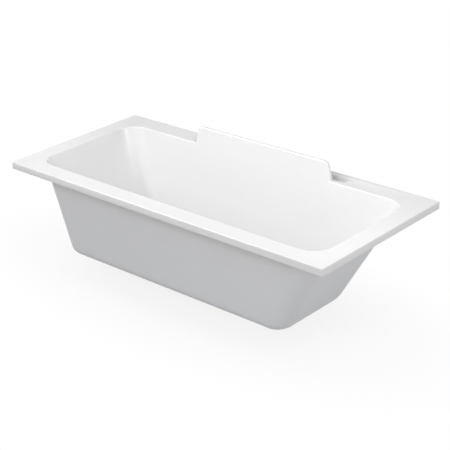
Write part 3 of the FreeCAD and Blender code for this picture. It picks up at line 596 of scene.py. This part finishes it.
def as_object(bm, name):
    """A bmesh as a new object in the scene."""
    mesh = bpy.data.meshes.new(name)
    bm.to_mesh(mesh)
    bm.free()
    item = bpy.data.objects.new(name, mesh)
    bpy.context.scene.collection.objects.link(item)
    return item


def drilled(sheet, steel, holes):
    """A bent sheet given its thickness, with the holes cut through it."""
    blank, drill = as_object(sheet, "sheet"), as_object(holes, "drill")
    skin = blank.modifiers.new("Steel", "SOLIDIFY")
    skin.thickness = steel
    skin.offset = 0
    bore = blank.modifiers.new("Bore", "BOOLEAN")
    bore.operation = "DIFFERENCE"
    bore.solver = "EXACT"
    bore.object = drill
    shape = blank.evaluated_get(bpy.context.evaluated_depsgraph_get())
    whole = bmesh.new()
    whole.from_mesh(shape.to_mesh())
    shape.to_mesh_clear()
    # Removing a mesh removes its object too
    for item in (blank, drill):
        bpy.data.meshes.remove(item.data)
    return whole


def place(bm, name, node, centre=(0, 0, 0), crease=CREASE, finish=None):
    """Make a bmesh the piece that stands for a CAD node: placed, finished and riding on its body."""
    item = as_object(bm, name)
    item.data.transform(Matrix.Translation(Vector(centre)))
    item.data.shade_smooth()
    item.data.set_sharp_from_angle(angle=math.radians(crease))
    item.data.materials.append(made(finish or FINISHES[SLOTS[node]]))
    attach(item, BODIES[node])
    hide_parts(node)
    return item


def keep_flat(item):
    """Keep a piece's flats flat where they run into its rounded surfaces."""
    flats = item.modifiers.new("Flats", "WEIGHTED_NORMAL")
    flats.keep_sharp = True


def smoothed(node, name, *extras, crease=CREASE):
    """Show a CAD node with its rounded surfaces shaded smooth, and with extra shapes on it."""
    keep_flat(place(joined(lambda bm: merged(bm, node), *extras), name, node, crease=crease))


class BATH_OT_shell(bpy.types.Operator):
    """Dress the acrylic shell, its laminate and the panel's core"""

    bl_idname = "bath.shell"
    bl_label = "Shell"

    def execute(self, context):
        dress("fibreglass_backing", "upstand_core")
        smoothed("acrylic_shell", "formed_shell", crease=SHEET_CREASE)
        return {"FINISHED"}


class BATH_OT_timber(bpy.types.Operator):
    """Battens with broken edges, and the base board"""

    bl_idname = "bath.timber"
    bl_label = "Battens and board"

    def execute(self, context):
        sizes = context.scene.bath_fittings
        smoothed("base_board", "cut_board")
        for end, finish in (("front", sawn_pine_long), ("back", sawn_pine_long),
                            ("foot", sawn_pine_cross), ("head", sawn_pine_cross)):
            low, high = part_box(f"rim_batten_{end}")
            bm = bmesh.new()
            bmesh.ops.create_cube(bm, size=1)
            bmesh.ops.scale(bm, verts=bm.verts, vec=high - low)
            bmesh.ops.translate(bm, verts=bm.verts, vec=(low + high) / 2)
            bmesh.ops.bevel(bm, geom=bm.edges[:], offset=sizes.soft_edge, segments=EDGE_STEPS, profile=0.5,
                            affect="EDGES", material=-1)
            place(bm, f"sawn_batten_{end}", f"rim_batten_{end}", finish=finish)
        return {"FINISHED"}


class BATH_OT_cradles(bpy.types.Operator):
    """Bent steel cradles under the board, and their wood screws"""

    bl_idname = "bath.cradles"
    bl_label = "Cradles"

    def execute(self, context):
        sizes = context.scene.bath_fittings
        for end in ("foot", "head"):
            sheet, holes = self.bend_sheet(sizes, end), self.screw_holes(sizes, end)
            keep_flat(place(drilled(sheet, sizes.steel, holes), f"bent_cradle_{end}", f"cradle_{end}"))
            smoothed(f"cradle_screws_{end}", f"wood_screws_{end}")
        return {"FINISHED"}

    def bend_sheet(self, sizes, end):
        """The middle of a cradle's sheet: a channel between two flanges, swept across the bath."""
        low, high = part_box(f"cradle_{end}")
        wall = sizes.steel / 2
        axis, edge, side = (low.x + high.x) / 2, half_width(f"cradle_{end}"), sizes.channel / 2 - wall
        top, web = high.z - wall, low.z + wall
        path = [(-edge, top), (-side, top), (-side, web), (side, web), (side, top), (edge, top)]
        bm = bmesh.new()
        verts = [bm.verts.new((axis + x, low.y, z)) for x, z in path]
        for pair in zip(verts, verts[1:]):
            bm.edges.new(pair)
        bmesh.ops.bevel(bm, geom=verts[1:-1], offset=sizes.bend, offset_type="OFFSET", segments=BEND_STEPS,
                        profile=0.5, affect="VERTICES", material=-1)
        swept = bmesh.ops.extrude_edge_only(bm, edges=bm.edges[:])["geom"]
        bmesh.ops.translate(bm, verts=[item for item in swept if isinstance(item, bmesh.types.BMVert)],
                            vec=(0, high.y - low.y, 0))
        bmesh.ops.recalc_face_normals(bm, faces=bm.faces)
        return bm

    def screw_holes(self, sizes, end):
        """Drills through a cradle's web where the foot screws pass."""
        _, low, _ = middle(f"cradle_{end}")
        bm = bmesh.new()
        for row in ("front", "back"):
            (x, y, _), _, _ = middle(f"foot_screw_{end}_{row}")
            bmesh.ops.create_cone(bm, cap_ends=True, segments=sizes.turns, radius1=sizes.nut_bore,
                                  radius2=sizes.nut_bore, depth=2 * sizes.steel,
                                  matrix=Matrix.Translation((x, y, low + sizes.steel / 2)))
        return bm


class BATH_OT_feet(bpy.types.Operator):
    """Threaded feet: screws, nuts, pads and soles"""

    bl_idname = "bath.feet"
    bl_label = "Feet"

    def execute(self, context):
        sizes = context.scene.bath_fittings
        for spot in SPOTS:
            self.make_screw(sizes, spot)
            self.make_nuts(sizes, spot)
            self.make_pad(sizes, spot)
            self.make_sole(sizes, spot)
        return {"FINISHED"}

    def make_screw(self, sizes, spot):
        """A foot screw: a plain journal in the pad, a drive hexagon above it and the thread."""
        centre, low, top = middle(f"foot_screw_{spot}")
        _, _, pad_top = middle(f"foot_pad_{spot}")
        seat = pad_top + sizes.seat_gap
        journal, end = sizes.journal, sizes.journal_end
        outline = [(0, low), (journal - end, low), (journal, low + end), (journal, seat), (0, seat)]
        screw = joined(
            lambda bm: turn(bm, outline, closed=False),
            lambda bm: hexagon(bm, seat, seat + sizes.collar, sizes.collar_flats, sizes.rod / 2),
            lambda bm: thread(bm, seat + sizes.collar / 2, top, sizes.rod, sizes.thread_depth, sizes.pitch),
        )
        place(screw, f"threaded_foot_{spot}", f"foot_screw_{spot}", centre)

    def make_nuts(self, sizes, spot):
        """The nut welded to the cradle and the jam nut that locks the screw."""
        centre, _, _ = middle(f"foot_screw_{spot}")
        for kind in ("weld", "jam"):
            _, low, high = middle(f"{kind}_nut_{spot}")
            nut = bmesh.new()
            hexagon(nut, low, high, sizes.nut_flats, sizes.nut_bore)
            place(nut, f"hex_{kind}_nut_{spot}", f"{kind}_nut_{spot}", centre)

    def make_pad(self, sizes, spot):
        """A pad with a tapered top and a blind bore for the screw's journal."""
        centre, screw_low, _ = middle(f"foot_screw_{spot}")
        _, low, high = middle(f"foot_pad_{spot}")
        radius = half_width(f"foot_pad_{spot}")
        shoulder = low + PAD_SHOULDER * (high - low)
        bore, floor = sizes.journal + sizes.play, screw_low - sizes.play
        pad = bmesh.new()
        turn(pad, [(0, low), (radius, low), (radius, shoulder), (PAD_TOP * radius, high), (bore, high),
                   (bore, floor), (0, floor)], rounding=sizes.pad_edge, closed=False)
        place(pad, f"nylon_pad_{spot}", f"foot_pad_{spot}", centre)

    def make_sole(self, sizes, spot):
        """A sole with ring grooves in its underside."""
        centre, _, _ = middle(f"foot_screw_{spot}")
        _, pad_low, _ = middle(f"foot_pad_{spot}")
        radius = half_width(f"foot_pad_{spot}")
        under = [(share * radius, depth * sizes.groove) for share, depth in SOLE_SHARES]
        sole = bmesh.new()
        turn(sole, [(0, pad_low), (radius, pad_low), *under], rounding=sizes.sole_edge, closed=False)
        place(sole, f"rubber_sole_{spot}", f"foot_sole_{spot}", centre)


class BATH_OT_waste(bpy.types.Operator):
    """Waste outlet and plug"""

    bl_idname = "bath.waste"
    bl_label = "Waste and plug"

    def execute(self, context):
        sizes = context.scene.bath_fittings
        for node, name in (("waste_flange", "plated_flange"), ("flange_seal", "upper_seal_ring"),
                           ("lower_seal", "lower_seal_ring"), ("plug_seal", "plug_seal_ring"),
                           ("plug_stem", "turned_stem"), ("stem_clip", "spring_clip")):
            smoothed(node, name)
        self.make_cap(sizes)
        self.make_backnut(sizes)
        return {"FINISHED"}

    def make_cap(self, sizes):
        """The plug's domed cap."""
        centre, low, high = middle("plug_cap")
        radius = half_width("plug_cap")
        outline = [(share * radius, low + rise * (high - low)) for share, rise in CAP_SHARES]
        cap = bmesh.new()
        turn(cap, outline, rounding=sizes.cap_edge, closed=False)
        place(cap, "domed_plug_cap", "plug_cap", centre, crease=DOME_CREASE)

    def make_backnut(self, sizes):
        """The nut under the floor, whose flats face across the bath."""
        centre, _, _ = middle("waste_backnut")
        low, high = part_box("waste_backnut")
        nut = bmesh.new()
        hexagon(nut, low.z, high.z, high.y - low.y, sizes.tail_bore)
        place(nut, "hex_backnut", "waste_backnut", centre)


class BATH_OT_trap(bpy.types.Operator):
    """Trap, its hand nuts and the outlet pipe"""

    bl_idname = "bath.trap"
    bl_label = "Trap"

    def execute(self, context):
        sizes = context.scene.bath_fittings
        for node, name in (("trap_body", "moulded_trap"), ("trap_washer", "trap_seal_ring"),
                           ("outlet_pipe", "outlet_tube"), ("outlet_seal", "outlet_seal_ring")):
            smoothed(node, name)
        for node, name, along in (("trap_nut", "trap_hand_nut", "Z"),
                                  ("outlet_nut", "outlet_hand_nut", "Y")):
            smoothed(node, name, lambda bm: grip(bm, node, along, sizes.rib, sizes.ribs))
        return {"FINISHED"}


class BATH_OT_stage(bpy.types.Operator):
    """Studio floor, even light, soft boxes and the camera"""

    bl_idname = "bath.stage"
    bl_label = "Stage"

    def execute(self, context):
        studio = context.scene.bath_studio
        self.make_floor(studio)
        self.make_sky(context.scene, studio)
        self.make_lamps(context.scene, studio)
        self.make_camera(context.scene, studio)
        context.scene.view_settings.view_transform = "Standard"
        return {"FINISHED"}

    def seen(self, tree):
        """1 where the eye, a mirror or a clear piece looks straight at the background."""
        path = add(tree, "ShaderNodeLightPath").outputs
        shiny = add(tree, "ShaderNodeMath", {0: path["Is Glossy Ray"], 1: path["Is Transmission Ray"]},
                    operation="MAXIMUM")
        either = add(tree, "ShaderNodeMath", {0: path["Is Camera Ray"], 1: shiny.outputs["Value"]},
                     operation="MAXIMUM")
        return either.outputs["Value"]

    def make_floor(self, studio):
        """Pale paper floor that fades to white away from the bath and keeps its shadow."""
        half = (CAD_BOX[1] - CAD_BOX[0]) / 2
        finish, tree, place_of = new_finish("studio_paper")
        spread = add(tree, "ShaderNodeMapping", {"Vector": place_of, "Scale": (1 / half.x, 1 / half.y, 0)})
        away = add(tree, "ShaderNodeVectorMath", {0: spread.outputs["Vector"]}, operation="LENGTH")
        fade = add(tree, "ShaderNodeMapRange", {
            "Value": away.outputs["Value"], "From Min": FADE_START, "From Max": FADE_END,
            "To Min": FADE_LEAST, "To Max": 1.0,
        }, interpolation_type="SMOOTHSTEP")
        near = add(tree, "ShaderNodeBsdfDiffuse", {"Color": tone(studio.paper_seen)})
        glow = add(tree, "ShaderNodeEmission", {"Color": WHITE, "Strength": 1.0})
        shown = add(tree, "ShaderNodeMixShader", {
            0: fade.outputs["Result"], 1: near.outputs["BSDF"], 2: glow.outputs["Emission"],
        })
        paper = add(tree, "ShaderNodeBsdfDiffuse", {"Color": tone(studio.paper)})
        both = add(tree, "ShaderNodeMixShader", {
            0: self.seen(tree), 1: paper.outputs["BSDF"], 2: shown.outputs["Shader"],
        })
        add(tree, "ShaderNodeOutputMaterial", {"Surface": both.outputs["Shader"]})
        bm = bmesh.new()
        bmesh.ops.create_grid(bm, x_segments=1, y_segments=1, size=studio.floor_size / 2)
        floor = as_object(bm, "studio_floor")
        floor.data.materials.append(finish)

    def make_sky(self, scene, studio):
        """An even light from all round that shows as white."""
        scene.world = bpy.data.worlds.new("studio")
        scene.world.use_nodes = True
        tree = scene.world.node_tree
        tree.nodes.clear()
        dim = add(tree, "ShaderNodeBackground", {"Color": WHITE, "Strength": studio.sky})
        bright = add(tree, "ShaderNodeBackground", {"Color": WHITE, "Strength": 1.0})
        both = add(tree, "ShaderNodeMixShader", {
            0: self.seen(tree), 1: dim.outputs["Background"], 2: bright.outputs["Background"],
        })
        add(tree, "ShaderNodeOutputWorld", {"Surface": both.outputs["Shader"]})

    def make_lamps(self, scene, studio):
        """The soft boxes, a key that only lights the sheet, and a strip that only shows as gloss."""
        lamps = {}
        for name, setting, spot, target, sides in LAMPS:
            lamps[name] = self.soft_box(scene, name, getattr(studio, setting), spot, target, sides)
        sheet = bpy.data.collections.new("sheet_lit_by_key")
        sheet.objects.link(bpy.data.objects["formed_shell"])
        lamps["key_box"].light_linking.receiver_collection = sheet
        lamps["glint_strip"].visible_diffuse = False

    def soft_box(self, scene, name, watts, spot, target, sides):
        """A rectangular lamp that shines at a target and stays out of the picture."""
        lamp = bpy.data.lights.new(name, "AREA")
        lamp.energy = watts
        lamp.shape = "RECTANGLE"
        lamp.size, lamp.size_y = sides
        item = bpy.data.objects.new(name, lamp)
        item.location = spot
        item.rotation_euler = (Vector(target) - Vector(spot)).to_track_quat("-Z", "Y").to_euler()
        item.visible_camera = False
        scene.collection.objects.link(item)
        return item

    def make_camera(self, scene, studio):
        """A camera at the photograph's viewing angle."""
        level = math.cos(studio.elevation)
        away = Vector((math.sin(studio.azimuth) * level, -math.cos(studio.azimuth) * level,
                       math.sin(studio.elevation)))
        right = (-away).cross(Vector((0, 0, 1))).normalized()
        above = right.cross(-away)
        turned = Matrix((right, above, away)).transposed() @ Matrix.Rotation(studio.roll, 3, "Z")
        lens = bpy.data.cameras.new("photo_camera")
        lens.sensor_width = CAMERA_FRAME
        lens.lens = studio.lens
        lens.clip_end = CAMERA_REACH
        camera = bpy.data.objects.new("photo_camera", lens)
        camera.matrix_world = Matrix.Translation(studio.place) @ turned.to_4x4()
        scene.collection.objects.link(camera)
        scene.camera = camera


class BATH_PT_panel(bpy.types.Panel):
    """Steps that dress the bath, and their settings"""

    bl_idname = "BATH_PT_panel"
    bl_label = "Acrylic bath"
    bl_space_type = "VIEW_3D"
    bl_region_type = "UI"
    bl_category = "Bath"

    def draw(self, context):
        for step in STEPS:
            self.layout.operator(step.bl_idname)
        for name, group in GROUPS.items():
            box = self.layout.box()
            for setting in group.__annotations__:
                box.prop(getattr(context.scene, name), setting)


GROUPS = {"bath_finishes": BathFinishes, "bath_fittings": BathFittings, "bath_studio": BathStudio}
STEPS = (BATH_OT_shell, BATH_OT_timber, BATH_OT_cradles, BATH_OT_feet, BATH_OT_waste, BATH_OT_trap,
         BATH_OT_stage)
CLASSES = (*GROUPS.values(), *STEPS, BATH_PT_panel)


def register():
    for item in CLASSES:
        bpy.utils.register_class(item)
    for name, group in GROUPS.items():
        setattr(bpy.types.Scene, name, PointerProperty(type=group))


def unregister():
    for name in GROUPS:
        delattr(bpy.types.Scene, name)
    for item in reversed(CLASSES):
        bpy.utils.unregister_class(item)


def main():
    register()
    for step in (bpy.ops.bath.shell, bpy.ops.bath.timber, bpy.ops.bath.cradles, bpy.ops.bath.feet,
                 bpy.ops.bath.waste, bpy.ops.bath.trap, bpy.ops.bath.stage):
        step()


if __name__ == "__main__":
    main()
